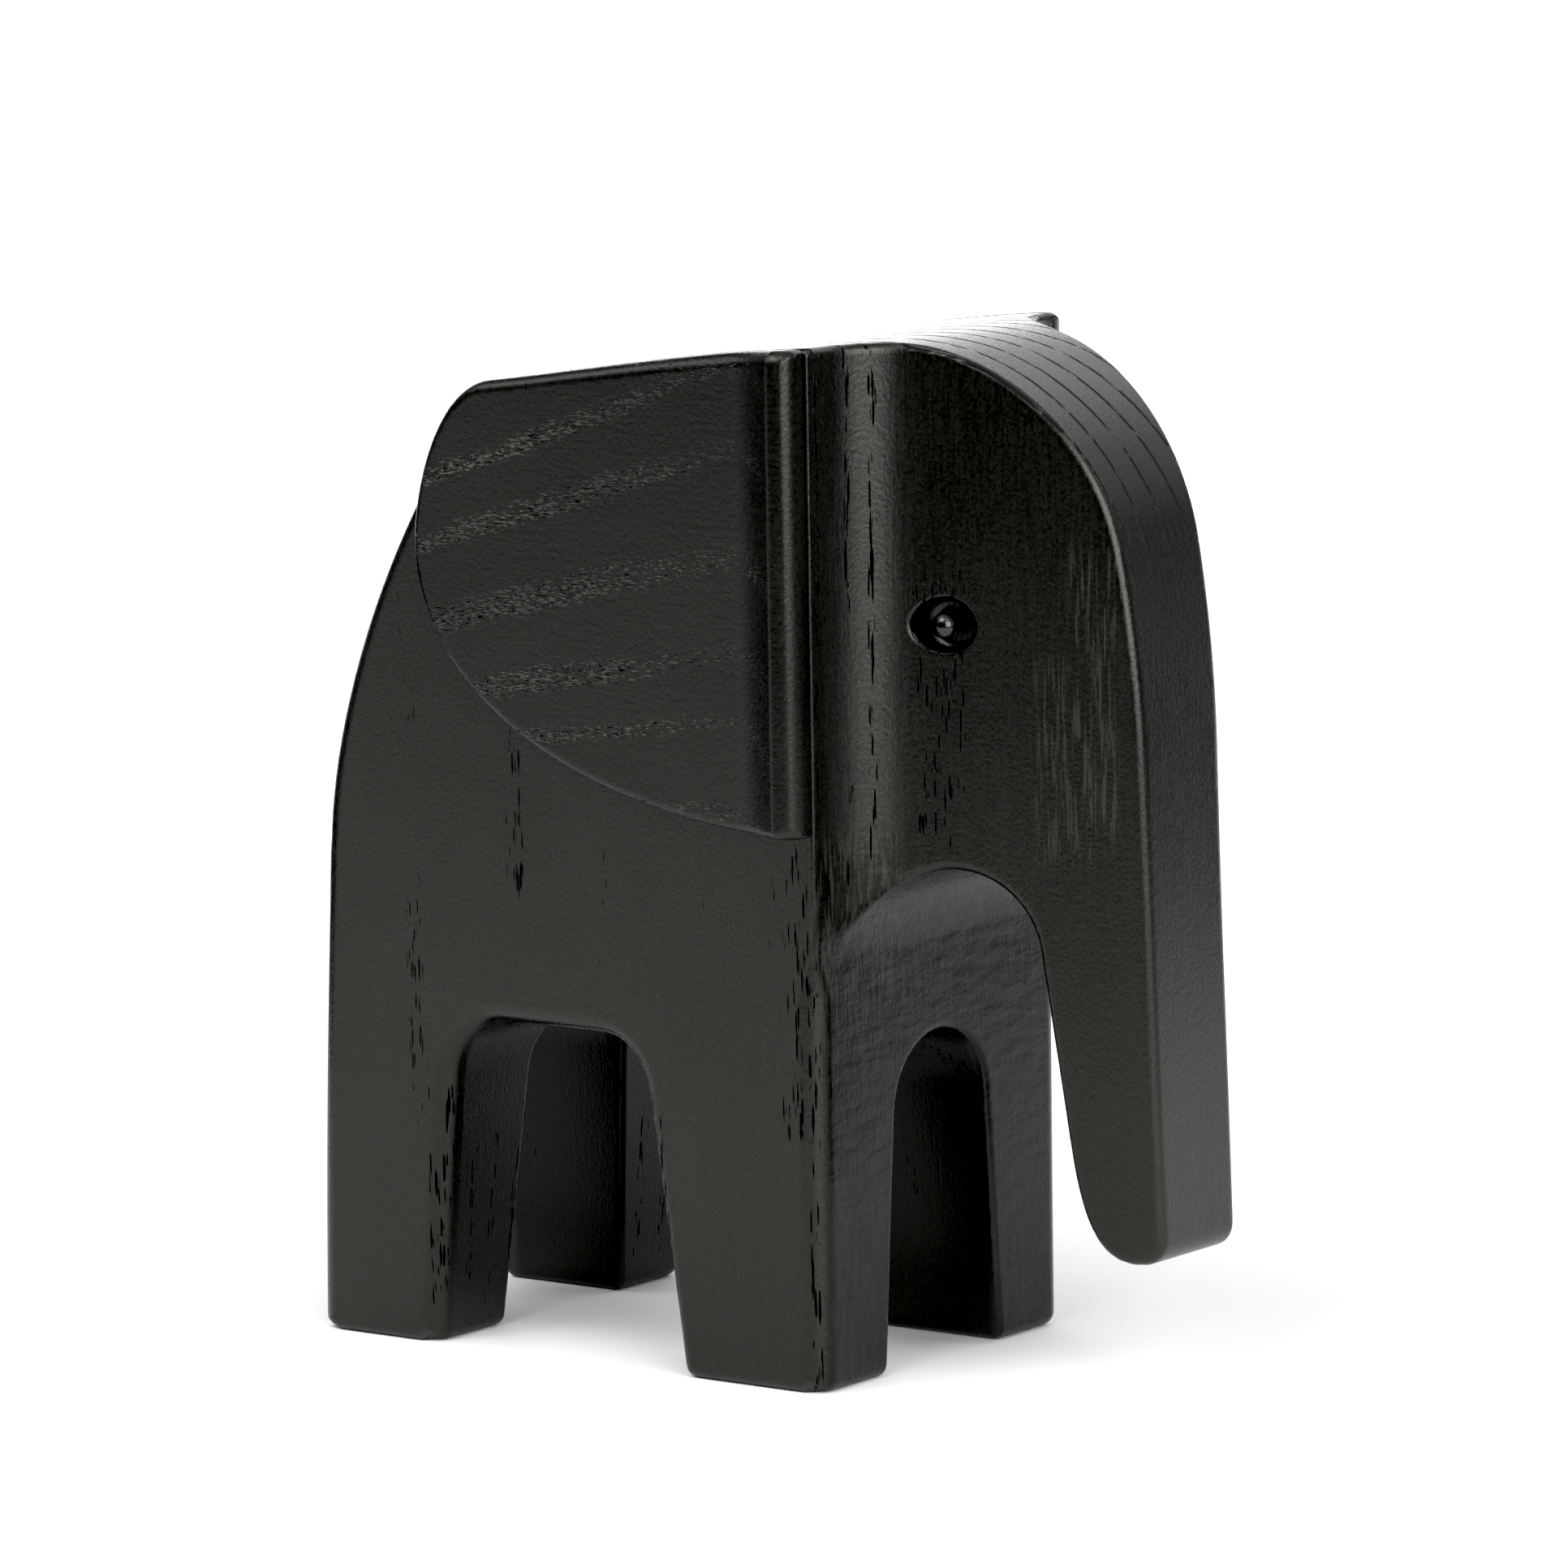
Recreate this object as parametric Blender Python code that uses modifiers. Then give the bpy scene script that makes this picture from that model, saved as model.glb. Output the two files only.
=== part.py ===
"""Carved wooden elephant: a figurine of stained ash with glued ears and peg eyes.

The elephant stands on its four feet on Z = 0 and faces +X, with its left side at +Y.
The origin is at the centre of its footprint. Body, legs, head and trunk are one carved
block: a side outline through the full width, narrowed by a plan outline at the head and
hollowed by an arched tunnel between the left and right legs. Each ear is a thin board
with a rolled front lip, and each eye is a turned peg in a countersunk recess.
"""
import math

import bmesh
import bpy
from mathutils import Matrix, Vector

MM = 0.001

# Driving dimensions, in millimetres. X is measured from the plane of the body's front
# face, which lies at X = FACE in the shared frame.
LENGTH = 113.6            # rump to trunk
HEIGHT = 125.0            # ground to the top of the head
BODY_WIDTH = 51.1         # across the flanks
RUMP = -76.7              # rear of the hind legs
TRUNK = LENGTH + RUMP     # front of the trunk
GAP = 0.3                 # clearance between pieces that touch

# Back and head
BACK_END = (-46.3, 119.3)     # where the back turns down into the rump
BACK_SLOPE = 0.12
RUMP_BEND = (-74.5, 60.0)     # where the upright hind edge starts to curve forward
CROWN_X = 3.0                 # the highest point of the head
BROW_RADIUS = 29.8
BROW_TURN = math.radians(79.0)
TRUNK_RADIUS = 155.0
TRUNK_TIP_Z = 16.4            # underside of the trunk's tip
TRUNK_TIP_RADIUS = 3.0

# Chin arch, between the trunk and the front legs
CHIN_RADIUS = 11.0
CHIN_X = 10.9
CHIN_Z = 51.4

# Leg spaces
SIDE_ARCH_TOP = 40.8          # height of the space between front and hind legs
SIDE_ARCH_RADIUS = 7.5
SIDE_ARCH_FOOT = (-58.0, -20.6)
SIDE_ARCH_HEAD = (-55.0, -25.2)
TUNNEL_RADIUS = 9.5           # rounded top of the tunnel between left and right legs
TUNNEL_Z = 30.9
TUNNEL_FOOT = 11.9            # half width of that tunnel at the ground

# Plan outline of the head
COVE_RADIUS = 12.6
HEAD_TAPER = math.radians(10.9)

# Ears
EAR_BOARD = 2.6
EAR_LIP = 4.1
LIP_RADIUS = 2.8
LIP_RAMP = (-9.2, -3.6)
EAR_REAR = (-57.4, 99.7)
EAR_FOOT_Z = 67.0

# Eyes
EYE = (10.4, 91.6)
RECESS_HEIGHT = 6.9
RECESS_LENGTH = 8.1
RECESS_DEPTH = 2.4
RECESS_FLARE = 0.12           # growth of the recess's half height with its depth
PEG_HEAD_RADIUS = 1.6         # the ball is centred level with the face around it
PEG_RADIUS = 0.9
PEG_LENGTH = 9.0              # from the centre of the ball to the end of the shank

# Rounded edges
FLANK_ROUNDING = 2.6
FOOT_ROUNDING = 1.2
SQUARE_TOP_Z = 112.0          # above this the flanks meet the back squarely, under the ears
EAR_TOP_ROUNDING = 2.0        # along the lip's upper end

FACE = LENGTH / 2 - TRUNK     # the body's front face in the shared frame


def new_collection(name):
    group = bpy.data.collections.new(name)
    bpy.context.scene.collection.children.link(group)
    return group


def wood(name, colour, roughness):
    material = bpy.data.materials.new(name)
    material.use_nodes = True
    shader = material.node_tree.nodes["Principled BSDF"]
    shader.inputs["Base Color"].default_value = (*colour, 1.0)
    shader.inputs["Roughness"].default_value = roughness
    shader.inputs["Metallic"].default_value = 0.0
    return material


def arc(centre, radius, start, end, steps):
    """Points along an arc, from the start angle to the end angle in degrees."""
    points = []
    for step in range(steps + 1):
        angle = math.radians(start + (end - start) * step / steps)
        points.append((centre[0] + radius * math.cos(angle),
                       centre[1] + radius * math.sin(angle)))
    return points


def curve(start, start_pull, end_pull, end, steps):
    """Points along a Bezier curve whose pulls are offsets from its two ends."""
    p0 = Vector(start)
    p1 = p0 + Vector(start_pull)
    p3 = Vector(end)
    p2 = p3 + Vector(end_pull)
    points = []
    for step in range(steps + 1):
        t = step / steps
        u = 1.0 - t
        point = u ** 3 * p0 + 3 * u * u * t * p1 + 3 * u * t * t * p2 + t ** 3 * p3
        points.append((point.x, point.y))
    return points


def without_repeats(points):
    kept = []
    for point in points:
        if not kept or math.dist(point, kept[-1]) > 0.05:
            kept.append(point)
    if math.dist(kept[0], kept[-1]) <= 0.05:
        kept.pop()
    return kept


def back_line(steps):
    """The back, from above the rump to the crown of the head."""
    pull = 12.3
    crown = (CROWN_X, HEIGHT)
    return curve(BACK_END, (pull, pull * BACK_SLOPE), (-13.0, 0.0), crown, steps)


def forehead():
    """Brow and trunk front: two arcs that meet smoothly, ending upright."""
    brow_end = 90.0 - math.degrees(BROW_TURN)
    brow = arc((CROWN_X, HEIGHT - BROW_RADIUS), BROW_RADIUS, 90.0, brow_end, 14)
    unit = Vector((math.cos(math.radians(brow_end)), math.sin(math.radians(brow_end))))
    centre = Vector(brow[-1]) - TRUNK_RADIUS * unit
    return brow + arc(centre, TRUNK_RADIUS, brow_end, 1.5, 5)


def trunk_tip():
    """Lower end of the trunk, from its front round to its rear edge."""
    centre = (TRUNK - TRUNK_TIP_RADIUS, TRUNK_TIP_Z + TRUNK_TIP_RADIUS)
    front = arc(centre, TRUNK_TIP_RADIUS, 0.0, -90.0, 5)
    rear = curve((33.4, TRUNK_TIP_Z), (-6.2, 0.0), (1.3, -9.4), (24.7, 34.0), 9)
    return front + rear


def chin_arch():
    """Trunk's rear edge, over the arch and down to the front of the legs."""
    top = arc((CHIN_X, CHIN_Z), CHIN_RADIUS, 5.0, 178.0, 18)
    return top + [(0.0, CHIN_Z - 4.0), (0.0, 0.0)]


def side_arch():
    """Space between the front and hind legs, seen from the side."""
    foot_rear, foot_front = SIDE_ARCH_FOOT
    head_rear, head_front = SIDE_ARCH_HEAD
    spring = SIDE_ARCH_TOP - SIDE_ARCH_RADIUS
    pull = 0.55 * SIDE_ARCH_RADIUS
    lean = 0.11 * pull
    front = curve((head_front, spring), (-lean, pull), (pull, 0.0),
                  (head_front - SIDE_ARCH_RADIUS, SIDE_ARCH_TOP), 7)
    rear = curve((head_rear + SIDE_ARCH_RADIUS, SIDE_ARCH_TOP), (-pull, 0.0), (lean, pull),
                 (head_rear, spring), 7)
    return [(foot_front, 0.0)] + front + rear + [(foot_rear, 0.0)]


def rump():
    """Hind leg's rear edge and the rump, up to the back."""
    lower = curve((RUMP, 0.0), (0.3, 22.0), (-0.9, -19.0), RUMP_BEND, 5)
    upper = curve(RUMP_BEND, (1.1, 28.5), (-4.2, -0.5), BACK_END, 14)
    return lower + upper


def side_outline():
    points = rump() + back_line(8) + forehead() + trunk_tip() + chin_arch() + side_arch()
    return without_repeats(points)


def plan_outline():
    """Full width behind the face plane, then the coves and the tapering head."""
    half = BODY_WIDTH / 2
    turned = 90.0 - math.degrees(HEAD_TAPER)
    cove = arc((COVE_RADIUS, -half), COVE_RADIUS, 180.0, 180.0 - turned, 12)
    end_x, end_y = cove[-1]
    reach = TRUNK + 5.0
    nose = (reach, end_y + (reach - end_x) * math.tan(HEAD_TAPER))
    right = [(RUMP - 5.0, -half)] + cove + [nose]
    left = [(x, -y) for x, y in reversed(right)]
    return without_repeats(right + left)


def tunnel_outline():
    """Arched tunnel between the left and right legs, wider at the ground."""
    foot = [(TUNNEL_FOOT, 0.0), (TUNNEL_FOOT + 0.4, -5.0)]
    mirrored = [(-x, z) for x, z in reversed(foot)]
    return arc((0.0, TUNNEL_Z), TUNNEL_RADIUS, 0.0, 180.0, 20) + mirrored + foot[::-1]


def ear_side_outline():
    back = [point for point in back_line(8) if point[0] < -1.0] + [(0.0, HEIGHT - 0.2)]
    edge_top = curve(EAR_REAR, (0.0, 7.3), (-7.1, -7.1 * BACK_SLOPE), BACK_END, 10)
    edge_foot = curve((0.0, EAR_FOOT_Z), (-28.9, 0.0), (0.0, -21.2), EAR_REAR, 16)
    return without_repeats(edge_foot + edge_top + back)


def ear_plan_outline(side):
    """Thickness of the ear: a flat board that flares into a rounded lip at its front."""
    inner = BODY_WIDTH / 2 + GAP
    board = BODY_WIDTH / 2 + EAR_BOARD
    crest = BODY_WIDTH / 2 + EAR_LIP
    ramp_start, ramp_end = LIP_RAMP
    points = [(EAR_REAR[0] - 5.0, inner), (EAR_REAR[0] - 5.0, board)]
    for step in range(7):
        t = step / 6
        rise = (crest - board) * (1.0 - math.cos(math.pi * t)) / 2
        points.append((ramp_start + t * (ramp_end - ramp_start), board + rise))
    points += arc((-LIP_RADIUS, crest - LIP_RADIUS), LIP_RADIUS, 90.0, 0.0, 6)
    points.append((0.0, inner))
    return [(x, side * y) for x, y in without_repeats(points)]


def prism(name, points, depth, turn, centre, group):
    """Closed solid from a flat outline: a filled 2D curve, extruded and made a mesh.

    Each end becomes one flat face, so that its rim can be rounded."""
    shape = bpy.data.curves.new(name, "CURVE")
    shape.dimensions = "2D"
    shape.fill_mode = "BOTH"
    shape.extrude = depth / 2 * MM
    spline = shape.splines.new("POLY")
    spline.points.add(len(points) - 1)
    for target, (u, v) in zip(spline.points, points):
        target.co = (u * MM, v * MM, 0.0, 1.0)
    spline.use_cyclic_u = True
    outline = bpy.data.objects.new(name + "_outline", shape)
    group.objects.link(outline)
    outline.matrix_world = Matrix.Translation(Vector(centre) * MM) @ turn
    bpy.context.view_layer.update()
    graph = bpy.context.evaluated_depsgraph_get()
    mesh = bpy.data.meshes.new_from_object(outline.evaluated_get(graph))
    edit = bmesh.new()
    edit.from_mesh(mesh)
    bmesh.ops.remove_doubles(edit, verts=edit.verts, dist=0.00001)
    bmesh.ops.dissolve_limit(edit, angle_limit=math.radians(0.1), verts=edit.verts,
                             edges=edit.edges)
    bmesh.ops.recalc_face_normals(edit, faces=edit.faces)
    edit.to_mesh(mesh)
    edit.free()
    mesh.name = name
    solid = bpy.data.objects.new(name, mesh)
    group.objects.link(solid)
    solid.matrix_world = outline.matrix_world
    bpy.data.objects.remove(outline)
    return solid


# Flat outlines stand upright in the XZ plane, lie in the XY plane or face along X.
UPRIGHT = Matrix.Rotation(math.radians(90.0), 4, "X")
LYING = Matrix.Identity(4)
FACING = Matrix(((0, 0, 1, 0), (1, 0, 0, 0), (0, 1, 0, 0), (0, 0, 0, 1)))


def boolean(target, cutter, operation):
    modifier = target.modifiers.new(operation.title(), "BOOLEAN")
    modifier.operation = operation
    modifier.object = cutter
    cutter.hide_render = True
    cutter.display_type = "WIRE"


def round_edges(solid, radius_of, largest):
    """Rounds each sharp edge by the radius that radius_of gives for its two ends."""
    edit = bmesh.new()
    edit.from_mesh(solid.data)
    weight = edit.edges.layers.float.new("bevel_weight_edge")
    for edge in edit.edges:
        if edge.calc_face_angle(0.0) < math.radians(50.0):
            continue
        first, second = [(solid.matrix_world @ vertex.co) / MM for vertex in edge.verts]
        edge[weight] = radius_of(first, second) / largest
    edit.to_mesh(solid.data)
    edit.free()
    modifier = solid.modifiers.new("Rounding", "BEVEL")
    modifier.width = largest * MM
    modifier.segments = 3
    modifier.limit_method = "WEIGHT"
    modifier.use_clamp_overlap = False


def block_edge_radius(first, second):
    """The flanks' rims, except at the back, and the edges of the feet."""
    across = abs(first.y - second.y) > 1.0
    at_ground = max(first.z, second.z) < 0.1
    if across or at_ground:
        return FOOT_ROUNDING
    if max(first.z, second.z) < SQUARE_TOP_Z:
        return FLANK_ROUNDING
    return 0.0


def ear_edge_radius(first, second):
    """The rim of the ear's outer side, where it follows the back."""
    outer = min(abs(first.y), abs(second.y)) > BODY_WIDTH / 2 + EAR_LIP - 0.1
    if outer and min(first.z, second.z) > BACK_END[1] - 1.0:
        return EAR_TOP_ROUNDING
    return 0.0


def shade(solid, material):
    solid.data.materials.clear()
    solid.data.materials.append(material)
    solid.data.shade_smooth()
    solid.data.set_sharp_from_angle(angle=math.radians(35.0))


def cone_cutter(name, side, inner, outer, radii, stretch, group):
    """Cone frustum across the head, from y = inner to y = outer, stretched along X."""
    edit = bmesh.new()
    bmesh.ops.create_cone(edit, cap_ends=True, segments=40, radius1=radii[0] * MM,
                          radius2=radii[1] * MM, depth=(outer - inner) * MM)
    turn = Matrix.Rotation(math.radians(-90.0 * side), 4, "X")
    place = Vector((FACE + EYE[0], side * (inner + outer) / 2, EYE[1])) * MM
    oval = Matrix.Diagonal((stretch, 1.0, 1.0, 1.0))
    bmesh.ops.transform(edit, matrix=Matrix.Translation(place) @ turn @ oval, verts=edit.verts)
    mesh = bpy.data.meshes.new(name)
    edit.to_mesh(mesh)
    edit.free()
    cutter = bpy.data.objects.new(name, mesh)
    group.objects.link(cutter)
    return cutter


def head_half_width(x):
    """Half the head's thickness at x, measured on the flat part of its side."""
    turned = math.pi / 2 - HEAD_TAPER
    end_x = COVE_RADIUS * (1.0 - math.cos(turned))
    end_y = BODY_WIDTH / 2 - COVE_RADIUS * math.sin(turned)
    return end_y - (x - end_x) * math.tan(HEAD_TAPER)


def make_block(parts, cutters):
    middle = (FACE, 0.0, 0.0)
    block = prism("body_block", side_outline(), BODY_WIDTH, UPRIGHT, middle, parts)
    round_edges(block, block_edge_radius, FLANK_ROUNDING)
    plan = prism("plan_guide", plan_outline(), 2 * HEIGHT + 40.0, LYING, middle, cutters)
    past = 5.0
    tunnel_length = -RUMP + 2 * past
    tunnel_middle = (FACE + past - tunnel_length / 2, 0.0, 0.0)
    tunnel = prism("leg_tunnel", tunnel_outline(), tunnel_length, FACING, tunnel_middle, cutters)
    boolean(block, plan, "INTERSECT")
    boolean(block, tunnel, "DIFFERENCE")
    surface = head_half_width(EYE[0])
    floor = surface - RECESS_DEPTH
    reach = 5.0
    rim = RECESS_HEIGHT / 2
    radii = (rim - RECESS_FLARE * RECESS_DEPTH, rim + RECESS_FLARE * reach)
    oval = RECESS_LENGTH / RECESS_HEIGHT
    bore = PEG_RADIUS + GAP
    bottom = surface - PEG_LENGTH - GAP
    for name, side in (("right", -1), ("left", 1)):
        recess = cone_cutter(name + "_recess", side, floor, surface + reach, radii, oval, cutters)
        socket = cone_cutter(name + "_socket", side, bottom, floor + 0.5, (bore, bore), 1.0, cutters)
        boolean(block, recess, "DIFFERENCE")
        boolean(block, socket, "DIFFERENCE")
    shade(block, wood("ash_block", (0.035, 0.034, 0.031), 0.55))


def make_ear(name, side, parts, cutters):
    depth = EAR_LIP - GAP
    middle = (FACE, side * (BODY_WIDTH / 2 + GAP + depth / 2), 0.0)
    ear = prism(name, ear_side_outline(), depth, UPRIGHT, middle, parts)
    round_edges(ear, ear_edge_radius, EAR_TOP_ROUNDING)
    plan = prism(name + "_plan", ear_plan_outline(side), 2 * HEIGHT + 40.0, LYING,
                 (FACE, 0.0, 0.0), cutters)
    boolean(ear, plan, "INTERSECT")
    shade(ear, wood(name + "_ash", (0.032, 0.031, 0.028), 0.55))


def make_eye(name, side, parts):
    """Peg with a ball head: a half profile turned about the peg's own axis."""
    neck = math.degrees(math.asin(PEG_RADIUS / PEG_HEAD_RADIUS))
    head = arc((0.0, 0.0), PEG_HEAD_RADIUS, 90.0, neck - 90.0, 10)
    shank = [(PEG_RADIUS, -PEG_LENGTH), (0.0, -PEG_LENGTH)]
    profile = [(0.0, PEG_HEAD_RADIUS)] + head[1:] + shank
    edit = bmesh.new()
    corners = [edit.verts.new((r * MM, 0.0, h * MM)) for r, h in profile]
    for first, second in zip(corners, corners[1:]):
        edit.edges.new((first, second))
    mesh = bpy.data.meshes.new(name)
    edit.to_mesh(mesh)
    edit.free()
    peg = bpy.data.objects.new(name, mesh)
    parts.objects.link(peg)
    turn = peg.modifiers.new("Turned", "SCREW")
    turn.steps = 20
    turn.render_steps = 20
    turn.use_merge_vertices = True
    turn.merge_threshold = 0.00001
    peg.rotation_euler = (math.radians(-90.0 * side), 0.0, 0.0)
    peg.location = Vector((FACE + EYE[0], side * head_half_width(EYE[0]), EYE[1])) * MM
    peg.data.materials.append(wood(name + "_gloss", (0.008, 0.008, 0.008), 0.12))
    mesh.shade_smooth()


def build():
    for leftover in list(bpy.data.objects):
        bpy.data.objects.remove(leftover)
    parts = new_collection("carved_elephant")
    cutters = new_collection("cutters")
    make_block(parts, cutters)
    for name, side in (("right", -1), ("left", 1)):
        make_ear(name + "_ear", side, parts, cutters)
        make_eye(name + "_eye", side, parts)


build()
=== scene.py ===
"""Looks of the carved wooden elephant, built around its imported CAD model.

The block and the ears are rebuilt as fine meshes of the same shapes, with each edge
rounded as sanding left it, and get procedural stained ash. Lengths inside are in
millimetres with X measured from FACE, the plane of the body's front face.
"""
import math

import bpy
import numpy as np
from mathutils import Matrix, Vector


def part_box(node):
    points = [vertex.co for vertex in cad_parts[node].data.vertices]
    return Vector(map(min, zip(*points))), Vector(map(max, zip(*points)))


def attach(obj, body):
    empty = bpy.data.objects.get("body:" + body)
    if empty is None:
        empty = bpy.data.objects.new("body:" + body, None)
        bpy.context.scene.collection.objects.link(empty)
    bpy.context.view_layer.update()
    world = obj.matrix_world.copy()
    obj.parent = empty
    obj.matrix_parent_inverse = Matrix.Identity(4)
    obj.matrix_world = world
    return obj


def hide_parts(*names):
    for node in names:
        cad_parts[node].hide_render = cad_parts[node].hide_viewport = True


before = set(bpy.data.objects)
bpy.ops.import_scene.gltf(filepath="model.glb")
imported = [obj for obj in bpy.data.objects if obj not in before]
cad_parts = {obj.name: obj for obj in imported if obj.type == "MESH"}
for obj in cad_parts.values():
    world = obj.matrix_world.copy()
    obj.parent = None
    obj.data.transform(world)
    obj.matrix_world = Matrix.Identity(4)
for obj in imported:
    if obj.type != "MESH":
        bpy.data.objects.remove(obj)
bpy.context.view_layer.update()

MM = 0.001
BLOCK_LOW, BLOCK_HIGH = [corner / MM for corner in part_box("body_block")]
EAR_LOW, EAR_HIGH = [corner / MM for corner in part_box("right_ear")]
EYE_LOW, EYE_HIGH = [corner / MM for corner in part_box("right_eye")]

FACE = EAR_HIGH.x                       # the body's front face in the shared frame
HALF = BLOCK_HIGH.y                     # half the body's width
HEIGHT = BLOCK_HIGH.z
RUMP = BLOCK_LOW.x - FACE
TRUNK = BLOCK_HIGH.x - FACE
EAR_CREST = -EAR_LOW.y                  # outer side of the ears' lips
EYE = ((EYE_LOW.x + EYE_HIGH.x) / 2 - FACE, (EYE_LOW.z + EYE_HIGH.z) / 2)
BALL_RADIUS = (EYE_HIGH.z - EYE_LOW.z) / 2

BACK_END = (-46.3, 119.3)               # where the straight back turns down to the rump
BACK_SLOPE = 0.12
BACK_PULL = 12.3
RUMP_BEND = (-74.5, 60.0)
CROWN_X = 3.0
BROW_RADIUS = 29.8
BROW_TURN = 79.0                        # degrees of the brow's arc
TRUNK_RADIUS = 155.0
TRUNK_END_ANGLE = 1.5
TRUNK_TIP_Z = 16.4
TIP_RADIUS = 3.0
TRUNK_REAR = ((33.4, TRUNK_TIP_Z), (24.7, 34.0))
CHIN = (10.9, 51.4)
CHIN_RADIUS = 11.0
ARCH_TOP = 40.8                         # the arch between the front and hind legs
ARCH_RADIUS = 7.5
ARCH_FOOT = (-58.0, -20.6)
ARCH_HEAD = (-55.0, -25.2)
ARCH_PULL = 0.55                        # share of the radius that makes nearly a round arc
ARCH_LEAN = 0.11
TUNNEL_RADIUS = 9.5                     # the tunnel between the left and right legs
TUNNEL_Z = 30.9
TUNNEL_FOOT = 11.9
COVE_RADIUS = 12.6
COVE_EDGE = 0.18
HEAD_TAPER = math.radians(10.9)
HEAD_RIM = 1.25
FOOT_CORNER = 1.5
SHIN_RIM = 3.0
SOLE_RIM = 1.1
SEAM = 0.12                             # dark line between an ear and the flank
EAR_BOARD = 2.6
LIP_REACH = 3.2                         # how far the lip's roll reaches back and inwards
LIP_RAMP = (-9.6, -3.3)                 # where the ramp up to the lip starts and ends
LIP_RAMP_POWER = 1.6
EAR_REAR = (-57.4, 99.7)
EAR_FOOT_Z = 67.0
POCKET = (3.95, 3.35, 2.4)              # half length, half height and depth of the eye pocket
BEYOND = 8.0                            # how far helping outlines run past the block

WOOD_IOR = 1.45
WOOD_SHEEN = (1.0, 0.985, 0.93, 1.0)    # slightly warm tint of the wood's shine
STAIN_DARK = (0.0010, 0.0010, 0.0008)
STAIN_LIGHT = (0.0042, 0.0041, 0.0037)
PORE_BLACK = (0.0006, 0.0006, 0.0005)
RUBBED_FIBRE = (0.030, 0.029, 0.026)
PALE_PORE = (0.056, 0.055, 0.051)


# ---------------------------------------------------------------- flat outlines

def arc(centre, radius, start, end, steps):
    """Points along an arc between two angles in degrees."""
    angles = np.radians(np.linspace(start, end, steps + 1))
    return [(centre[0] + radius * math.cos(a), centre[1] + radius * math.sin(a)) for a in angles]


def curve(start, start_pull, end_pull, end, steps):
    """Points along a Bezier curve whose pulls are offsets from its two ends."""
    p0, p3 = np.array(start), np.array(end)
    p1, p2 = p0 + start_pull, p3 + end_pull
    t = np.linspace(0.0, 1.0, steps + 1)[:, None]
    u = 1.0 - t
    return [tuple(p) for p in u ** 3 * p0 + 3 * u * u * t * p1 + 3 * u * t * t * p2 + t ** 3 * p3]


def tagged(points, first, last=None):
    """The points with a rounding radius each, running from first to last."""
    last = first if last is None else last
    count = max(len(points) - 1, 1)
    return [(u, v, first + (last - first) * i / count) for i, (u, v) in enumerate(points)]


def corner(before, point, after, radius, rounding):
    """A corner of an outline as an arc of the given radius."""
    point = np.array(point, float)
    a = np.array(before, float) - point
    b = np.array(after, float) - point
    a, b = a / np.linalg.norm(a), b / np.linalg.norm(b)
    half = math.acos(max(-1.0, min(1.0, float(a @ b)))) / 2
    reach = radius / math.tan(half)
    middle = (a + b) / np.linalg.norm(a + b) * radius / math.sin(half)
    start, end = a * reach - middle, b * reach - middle
    points = []
    for t in np.linspace(0.0, 1.0, 6):
        spoke = (1 - t) * start + t * end
        points.append(tuple(point + middle + spoke / np.linalg.norm(spoke) * radius))
    return tagged(points, rounding)


def back_line(steps):
    """The line of the back, from the rump's turn to the crown."""
    return curve(BACK_END, (BACK_PULL, BACK_PULL * BACK_SLOPE), (-13.0, 0.0),
                 (CROWN_X, HEIGHT), steps)


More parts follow.
